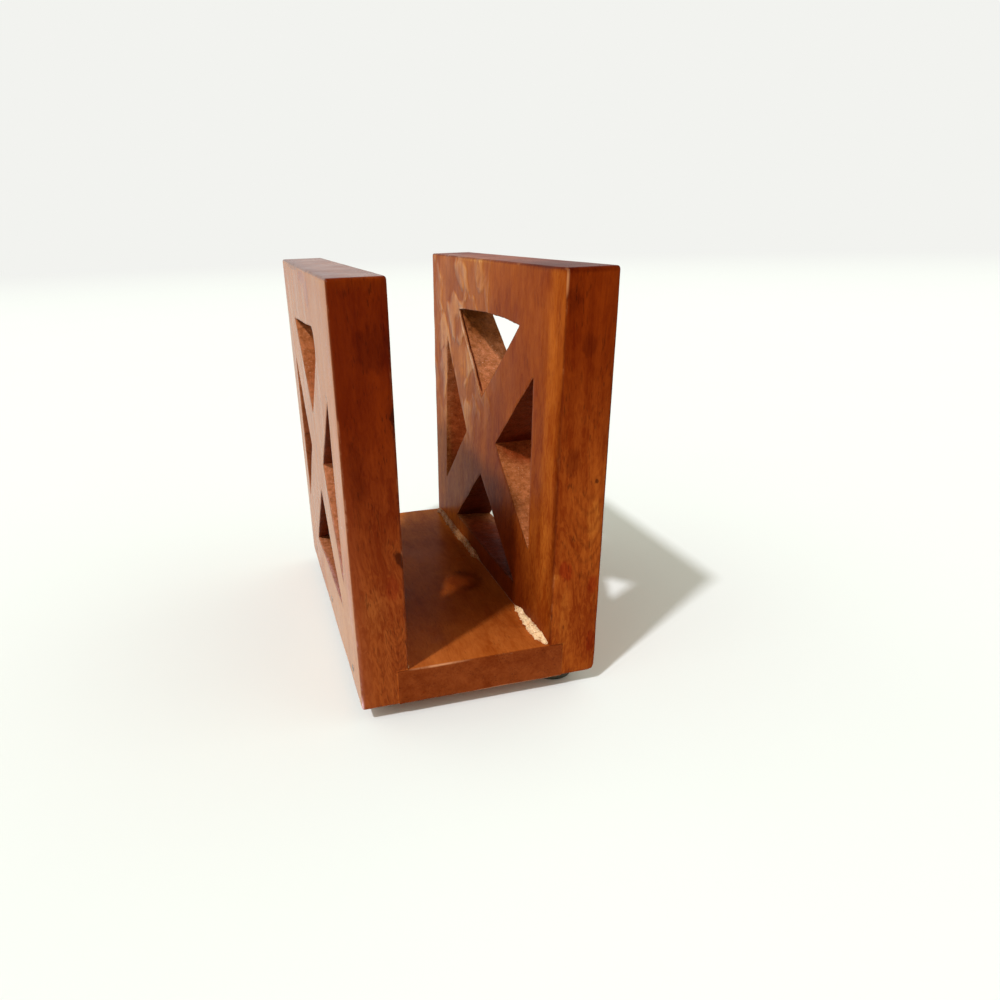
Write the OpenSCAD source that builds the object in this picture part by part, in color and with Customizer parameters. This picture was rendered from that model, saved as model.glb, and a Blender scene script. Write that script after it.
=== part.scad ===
// Upright napkin holder of three varnished boards: two pierced side panels stand in a U
// on a base board, which is let into rabbets along their lower inner edges.
// Frame: millimetres, X across the holder, Y from front to back, Z up.
// The origin lies under the middle of the holder, on the plane the four pads stand on.

/* [Boards] */
// Depth of the holder from front to back
depth = 152; // [130:1:200]
// Width over both side panels
width = 89; // [75:1:140]
// Height of the side panels, without the pads
panel_h = 141.5; // [125:0.5:180]
// Thickness of the side panels
panel_t = 19; // [12:0.5:24]
// Thickness of the base board
base_t = 14; // [10:0.5:18]
// Radius of the sanded edges of the panels
edge_r = 1.2; // [0.4:0.1:2.5]

/* [Joint of base and panels] */
// How far each end of the base board reaches into its panel
rabbet_d = 5.5; // [3:0.5:8]
// Leg of the bead of glue squeezed out along each inside corner
bead_leg = 2.2; // [1:0.1:4]
// How far the bead stops short of the front and back edges
bead_end = 3; // [1:0.5:10]

/* [Sawn pattern] */
// Wood left in front of the pattern
front_stile = 22; // [14:0.5:30]
// Wood left behind the pattern
back_stile = 20; // [16:0.5:30]
// Wood left above the pattern
top_rail = 20; // [12:0.5:26]
// Wood left below the pattern, measured from the panel's lower edge
bottom_rail = 22; // [21:0.5:28]
// Width of the two braces that cross in the middle
brace_w = 24; // [16:0.5:26]
// Radius of the starter hole at the upper front corner of the left panel's pattern
left_starter_r = 6; // [2:0.5:7]
// Radius of the starter hole at the upper front corner of the right panel's pattern
right_starter_r = 2.5; // [2:0.5:7]

/* [Brads] */
// Diameter of a brad's shank
brad_d = 1.8; // [1.2:0.1:3]
// Length of a brad, with its head
brad_len = 38; // [26:1:45]
// Diameter of a brad's head
brad_head_d = 2.8; // [1.6:0.1:4]
// Height of a brad's head
brad_head_h = 1; // [0.5:0.1:2]
// Gap all round a brad in its hole
brad_gap = 0.05; // [0.02:0.01:0.2]
// Distance of the outer brads from the front and back edges
brad_inset = 18; // [10:1:40]

/* [Pads] */
// Diameter of a felt pad
pad_d = 16; // [10:0.5:19]
// Thickness of a felt pad
pad_t = 5.5; // [2:0.5:8]
// Distance of a pad's middle from the side of the holder
pad_side = 12; // [10:0.5:20]
// Distance of a pad's middle from the front or back edge
pad_end = 16; // [14:0.5:30]
// Radius of a pad's lower edge
pad_r = 0.8; // [0.3:0.1:1]

/* [Hidden] */
$fn = 48;

left = -1;
right = 1;

// The braces run from corner to corner of the window that the stiles and rails leave.
win_front = front_stile;
win_back = depth - back_stile;
win_low = bottom_rail;
win_high = panel_h - top_rail;
mid_y = (win_front + win_back) / 2;
mid_z = (win_low + win_high) / 2;
brace_angle = atan2(win_high - win_low, win_back - win_front);
brace_rise = brace_w / 2 / cos(brace_angle);
brace_run = brace_w / 2 / sin(brace_angle);

// Corners of the four triangles as ruled on a panel, each [back, up] from the panel's
// lower front corner. The corner with the starter hole comes first in the upper one.
upper_ruled = [[win_front + brace_run, win_high], [win_back - brace_run, win_high],
    [mid_y, mid_z + brace_rise]];
front_ruled = [[win_front, win_high - brace_rise], [mid_y - brace_run, mid_z],
    [win_front, win_low + brace_rise]];
back_ruled = [[win_back, win_high - brace_rise], [win_back, win_low + brace_rise],
    [mid_y + brace_run, mid_z]];
lower_ruled = [[win_front + brace_run, win_low], [mid_y, mid_z - brace_rise],
    [win_back - brace_run, win_low]];
ruled = [upper_ruled, front_ruled, back_ruled, lower_ruled];

// The triangles were sawn freehand: how far the saw strayed from each ruled corner.
left_stray = [
    [[-7, 3], [1, -1.5], [-2, 1.5]],
    [[-0.5, -1.5], [-3, 2], [0, 2]],
    [[1, -3.5], [3, -2], [2, -1]],
    [[-6, 3.5], [-2, 2], [0, -1]]
];
right_stray = [
    [[-5.5, 1], [-5, -1], [1, 1]],
    [[0, 1], [1, 2], [0, 5.5]],
    [[-3.5, 1.5], [2, -0.5], [4.5, -2]],
    [[-4, 1], [2, 0], [2, 1]]
];

brad_z = pad_t + base_t / 2;
brad_tip = 2 * brad_d;

// A point part of the way from a to b, measured as a distance.
function along(a, b, distance) = a + (b - a) * distance / norm(b - a);

// Rectangle with its corners rounded, its lower left corner at the origin.
module eased_rectangle(w, h, r) {
    translate([r, 0]) square([w - 2 * r, h]);
    translate([0, r]) square([w, h - 2 * r]);
    for (x = [r, w - r], y = [r, h - r]) translate([x, y]) circle(r);
}

// Stands a flat outline up in the YZ plane and gives it a thickness along X.
module upright(thickness) {
    rotate([90, 0, 90]) linear_extrude(thickness) children();
}

// Board with all its edges sanded round.
module eased_board(t, d, h, r) {
    intersection() {
        upright(t) eased_rectangle(d, h, r);
        translate([0, d, 0]) rotate([90, 0, 0]) linear_extrude(d) eased_rectangle(t, h, r);
        linear_extrude(h) eased_rectangle(t, d, r);
    }
}

// Triangle whose first corner is rounded by the starter hole of the saw blade.
module drilled_triangle(corners, r) {
    a = corners[0];
    to_b = along([0, 0], corners[1] - a, 1);
    to_c = along([0, 0], corners[2] - a, 1);
    half = acos(to_b * to_c) / 2;
    tangent = r / tan(half);
    middle = a + along([0, 0], to_b + to_c, 1) * r / sin(half);
    polygon([a + to_b * tangent, corners[1], corners[2], a + to_c * tangent]);
    translate(middle) circle(r);
}

// The four triangles of one panel.
module sawn_pattern(stray, starter_r) {
    sawn = ruled + stray;
    drilled_triangle(sawn[0], starter_r);
    for (i = [1 : 3]) polygon(sawn[i]);
}

// Places one of the six brads: point inwards, head flush with the panel's outer face.
module at_brad(side, y) {
    translate([side * width / 2, y, brad_z]) rotate([0, -side * 90, 0]) children();
}

function brad_y(i) = (i - 1) * (depth / 2 - brad_inset);

// Hole driven for one brad, through the panel and into the end of the base board.
module brad_hole(side, y) {
    at_brad(side, y) {
        translate([0, 0, -1]) cylinder(h = brad_head_h + brad_gap + 1, d = brad_head_d + 2 * brad_gap);
        cylinder(h = brad_len + brad_gap, d = brad_d + 2 * brad_gap);
    }
}

module brad(side, y) {
    color("dimgray") at_brad(side, y) {
        cylinder(h = brad_head_h, d = brad_head_d);
        cylinder(h = brad_len - brad_tip, d = brad_d);
        translate([0, 0, brad_len - brad_tip]) cylinder(h = brad_tip, d1 = brad_d, d2 = brad_d / 4);
    }
}

// A side panel, drawn for the left of the holder and mirrored for the right.
module side_panel(side, stray, starter_r) {
    color("sienna") difference() {
        mirror([side == right ? 1 : 0, 0, 0]) translate([-width / 2, -depth / 2, pad_t]) difference() {
            eased_board(panel_t, depth, panel_h, edge_r);
            translate([-1, 0, 0]) upright(panel_t + 2) sawn_pattern(stray, starter_r);
            translate([panel_t - rabbet_d, -1, -1]) cube([rabbet_d + 1, depth + 2, base_t + 1]);
        }
        for (i = [0 : 2]) brad_hole(side, brad_y(i));
    }
}

module base_board() {
    base_w = width - 2 * (panel_t - rabbet_d);
    color("peru") difference() {
        translate([-base_w / 2, -depth / 2, pad_t]) cube([base_w, depth, base_t]);
        for (side = [left, right], i = [0 : 2]) brad_hole(side, brad_y(i));
    }
}

// Triangular bead in the corner between the base board and a panel.
module glue_bead(side) {
    color("burlywood") mirror([side == right ? 1 : 0, 0, 0])
        translate([panel_t - width / 2, depth / 2 - bead_end, pad_t + base_t]) rotate([90, 0, 0])
            linear_extrude(depth - 2 * bead_end) polygon([[0, 0], [bead_leg, 0], [0, bead_leg]]);
}

// Round felt pad, stuck on by hand a little off its place.
module pad(side, end, off) {
    color("darkolivegreen")
        translate([side * (width / 2 - pad_side), end * (depth / 2 - pad_end), 0])
            translate(off) rotate_extrude() {
                translate([0, pad_r]) square([pad_d / 2, pad_t - pad_r]);
                square([pad_d / 2 - pad_r, pad_r]);
                translate([pad_d / 2 - pad_r, pad_r]) circle(pad_r);
            }
}

side_panel(left, left_stray, left_starter_r);  // left_side_panel
side_panel(right, right_stray, right_starter_r);  // right_side_panel
base_board();
glue_bead(left);  // left_glue_bead
glue_bead(right);  // right_glue_bead
brad(left, brad_y(0));  // left_front_brad
brad(left, brad_y(1));  // left_middle_brad
brad(left, brad_y(2));  // left_back_brad
brad(right, brad_y(0));  // right_front_brad
brad(right, brad_y(1));  // right_middle_brad
brad(right, brad_y(2));  // right_back_brad
pad(left, -1, [-0.5, 1]);  // front_left_pad
pad(right, -1, [0, -3]);  // front_right_pad
pad(left, 1, [0.5, -1]);  // back_left_pad
pad(right, 1, [-1, 1]);  // back_right_pad
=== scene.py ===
import math

import bpy
import numpy as np
from mathutils import Matrix, Vector, noise
from mathutils.geometry import delaunay_2d_cdt


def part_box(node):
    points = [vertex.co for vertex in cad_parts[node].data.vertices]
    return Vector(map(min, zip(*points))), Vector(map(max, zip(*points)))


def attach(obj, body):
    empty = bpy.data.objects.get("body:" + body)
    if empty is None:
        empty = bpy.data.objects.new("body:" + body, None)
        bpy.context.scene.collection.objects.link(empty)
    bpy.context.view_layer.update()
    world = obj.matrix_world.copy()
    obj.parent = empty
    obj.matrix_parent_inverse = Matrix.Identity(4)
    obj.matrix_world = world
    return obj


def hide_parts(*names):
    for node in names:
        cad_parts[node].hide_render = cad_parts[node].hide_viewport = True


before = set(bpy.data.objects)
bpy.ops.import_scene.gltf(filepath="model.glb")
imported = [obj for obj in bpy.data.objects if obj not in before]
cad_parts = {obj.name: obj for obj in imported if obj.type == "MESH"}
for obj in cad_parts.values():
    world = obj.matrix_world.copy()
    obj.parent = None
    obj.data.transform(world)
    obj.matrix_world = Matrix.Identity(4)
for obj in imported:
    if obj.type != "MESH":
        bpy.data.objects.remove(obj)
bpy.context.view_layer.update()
mm = 0.001
BODY = "root"
link = bpy.context.scene.collection.objects.link


# --- Camera -----------------------------------------------------------------------------
# A phone held at the top edge of the holder, a little to its left, looking down into it.
# The picture was cut square off its middle, so the lens is shifted.
CAMERA_PLACE = Vector((-69.1, -286.4, 159.3)) * mm
CAMERA_YAW = math.radians(14.48)
CAMERA_PITCH = math.radians(25.76)
CAMERA_ROLL = math.radians(-1.72)

camera_lens = bpy.data.cameras.new("camera_lens")
camera_lens.sensor_width = 36.0
camera_lens.lens = 26.16
camera_lens.shift_x = 0.06
camera_lens.shift_y = 0.075
camera_lens.clip_start = 5 * mm
camera = bpy.data.objects.new("camera", camera_lens)
camera.matrix_world = (
    Matrix.Translation(CAMERA_PLACE)
    @ Matrix.Rotation(-CAMERA_YAW, 4, "Z")
    @ Matrix.Rotation(math.pi / 2 - CAMERA_PITCH, 4, "X")
    @ Matrix.Rotation(CAMERA_ROLL, 4, "Z")
)
link(camera)
bpy.context.scene.camera = camera
bpy.context.scene.view_settings.view_transform = "Standard"


# --- Floor and light --------------------------------------------------------------------
# A plain pale floor that fades into a plain pale surround, one soft key lamp from the
# front left, and a surround that lights mostly from both sides and a little from behind.
# Seen straight, in gloss or through glass, the surround is one even white.
FLOOR_RADIUS = 6.0
FLOOR_FADE = (1.0, 4.0)
FLOOR_COLOUR = (0.862, 0.876, 0.870, 1)
FLOOR_SHADE = 0.985
FLOOR_CLOUDS_PER_METRE = 9.0
KEY_TRAVEL = Vector((0.518, 0.340, -0.785))
KEY_STRENGTH = 2.22
KEY_COLOUR = (0.945, 0.965, 1.0)
KEY_ANGLE = math.radians(3.4)
SURROUND_WHITE = (0.89, 0.895, 0.865, 1)
SURROUND_BEHIND = (0.40, 0.395, 0.345, 1)
SURROUND_BEFORE = (0.17, 0.165, 0.140, 1)
SURROUND_SIDES = (1.12, 1.16, 0.98, 1)
FRONT_TO_BACK = (-0.55, 0.55)
MIDDLE_TO_SIDE = (0.15, 0.75)


def feed(socket, value):
    """Links a socket to another one, or sets its value."""
    if isinstance(value, bpy.types.NodeSocket):
        socket.id_data.links.new(value, socket)
    else:
        socket.default_value = value


def add_node(tree, kind, **settings):
    """Adds a shader node with its settings to a tree."""
    made = tree.nodes.new("ShaderNode" + kind)
    for name, value in settings.items():
        setattr(made, name, value)
    return made


def place(kind, feeds, **settings):
    """Adds a shader node to the tree of the sockets that feed it, by name or number."""
    tree = next(value.id_data for value in feeds.values() if isinstance(value, bpy.types.NodeSocket))
    made = add_node(tree, kind, **settings)
    for key, value in feeds.items():
        feed(made.inputs[key], value)
    return made


def calc(operation, a, b=0.0, c=0.0, clamp=False):
    """The output of a Math node."""
    return place("Math", {0: a, 1: b, 2: c}, operation=operation, use_clamp=clamp).outputs[0]


def plus(a, b, clamp=False):
    """a plus b."""
    return calc("ADD", a, b, clamp=clamp)


def ramp(value, low, high, to_low=0.0, to_high=1.0):
    """Value carried smoothly from low..high to to_low..to_high, and held at the ends."""
    feeds = {"Value": value, "From Min": low, "From Max": high, "To Min": to_low, "To Max": to_high}
    return place("MapRange", feeds, interpolation_type="SMOOTHSTEP").outputs[0]


def mixed(share, a, b, how="MIX"):
    """Two colours mixed."""
    return place("Mix", {0: share, 6: a, 7: b}, data_type="RGBA", blend_type=how).outputs[2]


def new_material(name):
    """An empty node material and its output node."""
    made = bpy.data.materials.new(name)
    made.use_nodes = True
    made.node_tree.nodes.clear()
    return made, made.node_tree, made.node_tree.nodes.new("ShaderNodeOutputMaterial")


floor_mesh = bpy.data.meshes.new("floor")
ways = ((-1, -1), (1, -1), (1, 1), (-1, 1))
floor_mesh.from_pydata([(x * FLOOR_RADIUS, y * FLOOR_RADIUS, 0) for x, y in ways], [], [(0, 1, 2, 3)])
floor = bpy.data.objects.new("floor", floor_mesh)
link(floor)

floor_paint, tree, out = new_material("floor_paint")
spot = add_node(tree, "TexCoord").outputs["Object"]
cloud = place("TexNoise", {"Vector": spot, "Scale": FLOOR_CLOUDS_PER_METRE, "Detail": 3.0}).outputs[0]
paint = mixed(cloud, FLOOR_COLOUR, tuple(c * FLOOR_SHADE for c in FLOOR_COLOUR[:3]) + (1,))
matt = place("BsdfPrincipled", {"Base Color": paint, "Roughness": 0.75, "Specular IOR Level": 0.2})
away = place("VectorMath", {0: spot}, operation="LENGTH").outputs["Value"]
faded = ramp(away, *FLOOR_FADE)
distance = add_node(tree, "Emission")
feed(distance.inputs["Color"], SURROUND_WHITE)
edge = place("MixShader", {0: faded, 1: matt.outputs[0], 2: distance.outputs[0]})
feed(out.inputs["Surface"], edge.outputs[0])
floor_mesh.materials.append(floor_paint)

key_lamp = bpy.data.lights.new("key_lamp", "SUN")
key_lamp.energy = KEY_STRENGTH
key_lamp.color = KEY_COLOUR
key_lamp.angle = KEY_ANGLE
key = bpy.data.objects.new("key", key_lamp)
key.rotation_euler = KEY_TRAVEL.to_track_quat("-Z", "Y").to_euler()
link(key)

surround = bpy.data.worlds.new("surround")
surround.use_nodes = True
tree = surround.node_tree
tree.nodes.clear()
toward = add_node(tree, "TexCoord").outputs["Generated"]
aim = place("SeparateXYZ", {0: toward}).outputs
lit = mixed(ramp(aim["Y"], *FRONT_TO_BACK), SURROUND_BEFORE, SURROUND_BEHIND)
to_side = ramp(calc("ABSOLUTE", aim["X"]), *MIDDLE_TO_SIDE)
lit = mixed(to_side, lit, SURROUND_SIDES)
light_path = add_node(tree, "LightPath").outputs
seen = plus(light_path["Is Camera Ray"], light_path["Is Glossy Ray"])
seen = plus(seen, light_path["Is Transmission Ray"], clamp=True)
glow = place("Background", {"Color": mixed(seen, lit, SURROUND_WHITE)})
out = tree.nodes.new("ShaderNodeOutputWorld")
feed(out.inputs["Surface"], glow.outputs[0])
bpy.context.scene.world = surround


# --- Side panels ------------------------------------------------------------------------
# Two boards of reddish hardwood about 19 mm thick, grain upright. Four triangles are sawn
# through each with a fine hand saw, freehand, and the sawn walls are left rough. The faces
# are sanded by hand and varnished; a rabbet along the foot takes the base board.
ARRIS = 0.8 * mm
END_ARRIS = 1.25 * mm
CUT_ARRIS = 0.45 * mm
FACE_STEP = 1.5 * mm
CUT_STEP = 1.0 * mm
EDGE_STEP = 1.5 * mm
ARRIS_RINGS = 4
WALL_SHARES = [i / 12 for i in range(1, 11)] + [0.88, 0.92, 0.955, 0.98]
GROOVE_SHARE = 0.955
GROOVE_SHOWS = 0.4 * mm
GROOVE_HIGHLIGHT = 0.85
BEND_PARTS = 5
SHARP_TURN = math.radians(25)
CLEAR_OF_RIM = 0.6 * FACE_STEP
WELD = 1e-5
ON_FACE = 0.01 * mm
NOISE_GAIN = 1.6
NOISE_APART = 17.3
ARRIS_WAVE = 14 * mm
ARRIS_VARIES = 0.25
CUT_ARRIS_WAVE = 5 * mm
CUT_ARRIS_VARIES = 0.4
SAW_TOOTH = 0.2 * mm
SAW_WAVE = 2.6 * mm
SAW_RIPPLE = 1.1 * mm
SAW_SLANT = 0.35
SAW_STRAY = 0.22 * mm
SAW_STRAY_WAVE = 16 * mm
SMALL_HOLE = 6 * mm
HEAD_SINK = 1.08 * mm
SHANK_SHARE = 0.65
SWELL = 0.10 * mm
SWELL_WAVE = 30 * mm
RIPPLE = 0.035 * mm
RIPPLE_WAVE = 7 * mm
ALONG_GRAIN = 0.35
RUNS_PLACE = (40 * mm, 118 * mm)
RUNS_REACH = (72 * mm, 60 * mm)
RUN_WIDTH = 5.5 * mm
MARKS = ("sawn", "edge", "eased", "wear_and_highlight", "under")
base_low, base_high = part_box("base_board")


def wobble(points, size, seed):
    """Smooth noise of about -1..1 at points of one to three coordinates, with waves about
    size long."""
    places = np.zeros((len(points), 3))
    places[:, :points.shape[1]] = points
    places = places / size + NOISE_APART * seed
    return np.array([noise.noise(Vector(p)) for p in places]) * NOISE_GAIN


def openings_of(node, x):
    """Outlines of what is cut into a CAD node's flat face at x, each an array of (y, z)."""
    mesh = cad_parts[node].data
    uses = {}
    for face in mesh.polygons:
        corners = [mesh.vertices[i].co for i in face.vertices]
        if any(abs(c.x - x) > ON_FACE for c in corners):
            continue
        keys = [(round(c.y, 6), round(c.z, 6)) for c in corners]
        for a, b in zip(keys, keys[1:] + keys[:1]):
            if (b, a) in uses:
                del uses[(b, a)]
            else:
                uses[(a, b)] = True
    after = dict(uses.keys())
    loops = []
    while after:
        start = next(iter(after))
        loop = [start]
        while loop[-1] in after:
            loop.append(after.pop(loop[-1]))
        loops.append(np.array(loop[:-1]))
    loops.sort(key=lambda loop: np.ptp(loop, axis=0).max())
    return loops[:-1]


def area_of(loop):
    """Area inside a closed outline, positive if it runs anticlockwise."""
    ahead = np.roll(loop, -1, axis=0)
    return (loop[:, 0] * ahead[:, 1] - loop[:, 1] * ahead[:, 0]).sum() / 2


def resampled(loop, step):
    """The closed outline with points about a step apart. Its sharp corners are kept."""
    ahead = np.roll(loop, -1, axis=0) - loop
    headings = np.arctan2(ahead[:, 1], ahead[:, 0])
    turns = (headings - np.roll(headings, 1) + math.pi) % (2 * math.pi) - math.pi
    corners = [i for i in range(len(loop)) if abs(turns[i]) > SHARP_TURN] or [0]
    made = []
    for here, there in zip(corners, corners[1:] + [corners[0] + len(loop)]):
        run = loop[np.arange(here, there + 1) % len(loop)]
        lengths = np.r_[0, np.cumsum(np.linalg.norm(np.diff(run, axis=0), axis=1))]
        at = np.linspace(0, lengths[-1], max(1, round(lengths[-1] / step)) + 1)[:-1]
        made.append(np.c_[np.interp(at, lengths, run[:, 0]), np.interp(at, lengths, run[:, 1])])
    return np.concatenate(made)


def into_wood(loop):
    """Unit directions to the left of a closed outline at its points."""
    ahead = np.roll(loop, -1, axis=0) - loop
    ahead /= np.linalg.norm(ahead, axis=1)[:, None]
    along = ahead + np.roll(ahead, 1, axis=0)
    along /= np.linalg.norm(along, axis=1)[:, None]
    return np.c_[-along[:, 1], along[:, 0]]


def rounded_outline(low, high, radius, step):
    """Anticlockwise rectangle with rounded corners, and points about a step apart."""
    corners = (high[0], high[1]), (low[0], high[1]), (low[0], low[1]), (high[0], low[1])
    inward = (-1, -1), (1, -1), (1, 1), (-1, 1)
    bends = []
    for i, (corner, way) in enumerate(zip(corners, inward)):
        middle = np.array(corner) + radius * np.array(way)
        for part in range(BEND_PARTS + 1):
            angle = math.pi / 2 * (i + part / BEND_PARTS)
            bends.append(middle + radius * np.array((math.cos(angle), math.sin(angle))))
    made = []
    for a, b in zip(bends, bends[1:] + bends[:1]):
        parts = max(1, round(float(np.linalg.norm(b - a)) / step))
        made += [a + (b - a) * k / parts for k in range(parts)]
    return np.array(made)


def sharp_corners(loop):
    """Where the three longest edges of an outline would meet if they ran on."""
    ahead = np.roll(loop, -1, axis=0)
    longest = sorted(np.argsort(np.linalg.norm(ahead - loop, axis=1))[-3:])
    made = []
    for i, j in zip(longest, longest[1:] + longest[:1]):
        shares = np.linalg.solve(np.c_[ahead[i] - loop[i], loop[j] - ahead[j]], loop[j] - loop[i])
        made.append(loop[i] + (ahead[i] - loop[i]) * shares[0])
    return np.array(made)


def wear_and_highlight_at(points, places):
    """How far each point takes the pale arris colour, which is wear at some places and a
    painted highlight at others: 1 near the middle of each place (x, y, z, and how far it
    reaches along each, all in millimetres), and 0 outside them all."""
    wear_and_highlight = np.zeros(len(points))
    for place_of_wear in places:
        span = (points / mm - place_of_wear[:3]) / place_of_wear[3:]
        wear_and_highlight = np.maximum(wear_and_highlight, np.clip(1.5 - 1.5 * np.linalg.norm(span, axis=1), 0, 1))
    return wear_and_highlight


def inside(loop, points):
    """Which points lie inside a closed outline."""
    found = np.zeros(len(points), bool)
    for (ax, ay), (bx, by) in zip(loop, np.roll(loop, -1, axis=0)):
        crosses = (ay > points[:, 1]) != (by > points[:, 1])
        if crosses.any():
            at = (bx - ax) * (points[crosses, 1] - ay) / (by - ay) + ax
            found[crosses] ^= points[crosses, 0] < at
    return found


def face_fill(rims):
    """Triangles that fill a flat face between its rims: (added points, faces over all)."""
    rim = np.concatenate(rims)
    low, high = rim.min(0), rim.max(0)
    columns, rows = (np.arange(low[i], high[i], FACE_STEP) for i in (0, 1))
    grid = np.stack(np.meshgrid(columns, rows), -1).reshape(-1, 2)
    wood = inside(rims[0], grid)
    for loop in rims[1:]:
        wood &= ~inside(loop, grid)
    grid = grid[wood]
    near = np.array([np.abs(rim - g).sum(1).min() for g in grid])
    grid = grid[near > CLEAR_OF_RIM]
    points = np.concatenate((rim, grid))
    edges, start = [], 0
    for loop in rims:
        n = len(loop)
        edges += [(start + i, start + (i + 1) % n) for i in range(n)]
        start += n
    scaled = [Vector(p) for p in points / mm]
    _, _, faces, origin, _, _ = delaunay_2d_cdt(scaled, edges, [], 0, WELD, True)
    back = [ids[0] for ids in origin]
    faces = np.array([[back[i] for i in face] for face in faces])
    middles = points[faces].mean(1)
    kept = inside(rims[0], middles)
    for loop in rims[1:]:
        kept &= ~inside(loop, middles)
    return grid, faces[kept]


class Board:
    """A board under construction: points as (a, b, depth) with marks, and faces."""

    def __init__(self, thickness):
        self.thickness = thickness
        self.points, self.faces = [], []
        self.marks = {mark: [] for mark in MARKS}
        self.front_rims, self.back_rims = [], []
        self.count = 0

    def add(self, points, **marks):
        """Adds points and their marks, and returns the number of the first."""
        first = self.count
        self.points.append(points)
        for mark in MARKS:
            self.marks[mark].append(np.zeros(len(points)) + marks.get(mark, 0))
        self.count += len(points)
        return first

    def bridge(self, first, n):
        """Adds the faces between the ring of n points at first and the ring after it."""
        for k in range(n):
            j = (k + 1) % n
            self.faces.append((first + k, first + j, first + n + j, first + n + k))

    def wall(self, loop, arris, back_arris, mark, drift=0.0, groove=0.0, rough=0.0, seed=0):
        """Adds the wall along an outline, eased into both faces by arris and back_arris.
        drift is how far each point strays towards the back face, and groove how deep a
        groove runs along the wall near that face."""
        n = len(loop)
        normal = into_wood(loop)
        drift = np.zeros_like(loop) + drift
        groove = np.zeros(n) + groove
        turns = [math.pi / 2 * i / ARRIS_RINGS for i in range(ARRIS_RINGS + 1)]
        rings = [(arris * (1 - math.sin(t)), arris * (1 - math.cos(t)), t) for t in turns]
        for share in WALL_SHARES:
            inset = groove if share == GROOVE_SHARE else groove * 0
            depth = arris * (1 - share) + (self.thickness - back_arris) * share
            rings.append((inset, depth, math.pi / 2))
        for t in reversed(turns):
            depth = self.thickness - back_arris * (1 - math.cos(t))
            rings.append((back_arris * (1 - math.sin(t)), depth, t))
        grooved = np.minimum(1, groove / GROOVE_SHOWS)
        first = self.count
        for index, (inset, depth, t) in enumerate(rings):
            flat = loop + normal * inset[:, None] + drift * (depth / self.thickness)[:, None]
            if rough:
                spots = np.c_[loop, depth * SAW_SLANT]
                bump = wobble(spots, SAW_WAVE, seed) * 0.5 + wobble(spots, SAW_RIPPLE, seed + 3) * 0.35
                flat += normal * (rough * math.sin(t) * bump)[:, None]
            # Painted shade darkens the groove and the sawn walls that face down, and a painted
            # highlight lightens the arris beyond the groove.
            rings_left = len(rings) - index
            under = np.clip(normal[:, 1], 0, 1) * math.sin(t)
            if 5 < rings_left < 8:
                under = np.maximum(under, grooved)
            wear_and_highlight = grooved * (rings_left < 4) * GROOVE_HIGHLIGHT
            given_marks = {mark: math.sin(t), "eased": math.sin(2 * t), "wear_and_highlight": wear_and_highlight, "under": under}
            self.add(np.c_[flat, depth], **given_marks)
            if index:
                self.bridge(first + (index - 1) * n, n)
        self.front_rims.append((first, self.points[-len(rings)][:, :2]))
        self.back_rims.append((self.count - n, self.points[-1][:, :2]))

    def brad_hole(self, loop, head_depth, shank_share):
        """Adds a stepped round hole: wide to head_depth, then narrower to the back face."""
        n = len(loop)
        shank = loop.mean(0) + (loop - loop.mean(0)) * shank_share
        rings = [(loop, 0.0), (loop, head_depth), (shank, head_depth), (shank, self.thickness)]
        first = self.count
        for index, (ring, depth) in enumerate(rings):
            self.add(np.c_[ring, np.full(n, depth)])
            if index:
                self.bridge(first + (index - 1) * n, n)
        self.front_rims.append((first, loop))
        self.back_rims.append((self.count - n, shank))

    def fill(self, rims, depth):
        """Fills the flat face between the rims."""
        grid, faces = face_fill([loop for _, loop in rims])
        owner = np.concatenate([first + np.arange(len(loop)) for first, loop in rims])
        new = self.add(np.c_[grid, np.full(len(grid), depth)])
        owner = np.concatenate((owner, new + np.arange(len(grid))))
        self.faces += [tuple(owner[list(face)]) for face in faces]

    def finished(self):
        """Fills both faces, and returns the points, the faces and the marks."""
        self.fill(self.front_rims, 0.0)
        self.fill(self.back_rims, self.thickness)
        marks = {mark: np.concatenate(values) for mark, values in self.marks.items()}
        return np.concatenate(self.points), self.faces, marks


def mesh_object(name, points, faces, marks):
    """An object, its faces turned outwards, with marks stored on its points."""
    mesh = bpy.data.meshes.new(name)
    mesh.from_pydata(np.asarray(points).tolist(), [], [tuple(int(i) for i in face) for face in faces])
    for mark, values in marks.items():
        mesh.attributes.new(mark, "FLOAT", "POINT").data.foreach_set("value", values.astype(np.float32))
    made = bpy.data.objects.new(name, mesh)
    link(made)
    bpy.context.view_layer.objects.active = made
    made.select_set(True)
    bpy.ops.object.mode_set(mode="EDIT")
    bpy.ops.mesh.select_all(action="SELECT")
    bpy.ops.mesh.normals_make_consistent(inside=False)
    bpy.ops.object.mode_set(mode="OBJECT")
    made.select_set(False)
    return made


def finish_piece(made, node, material, sharp=math.radians(38)):
    """Shades a piece smooth but for its sharp edges, and fits it into the frame."""
    made.data.shade_smooth()
    made.data.set_sharp_from_angle(angle=sharp)
    made.data.materials.clear()
    made.data.materials.append(material)
    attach(made, BODY)
    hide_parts(node)


def cut_box(made, low, high):
    """Cuts a box out of an object."""
    across, along, up = zip(low, high)
    corners = [(x, y, z) for x in across for y in along for z in up]
    faces = [(0, 1, 3, 2), (4, 6, 7, 5), (0, 4, 5, 1), (2, 3, 7, 6), (0, 2, 6, 4), (1, 5, 7, 3)]
    mesh = bpy.data.meshes.new("cutter")
    mesh.from_pydata(corners, [], faces)
    cutter = bpy.data.objects.new("cutter", mesh)
    link(cutter)
    cut = made.modifiers.new("cut", "BOOLEAN")
    cut.object = cutter
    cut.solver = "EXACT"
    bpy.context.view_layer.update()
    done = bpy.data.meshes.new_from_object(made.evaluated_get(bpy.context.evaluated_depsgraph_get()))
    made.modifiers.clear()
    made.data = done
    bpy.data.objects.remove(cutter)
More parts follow.
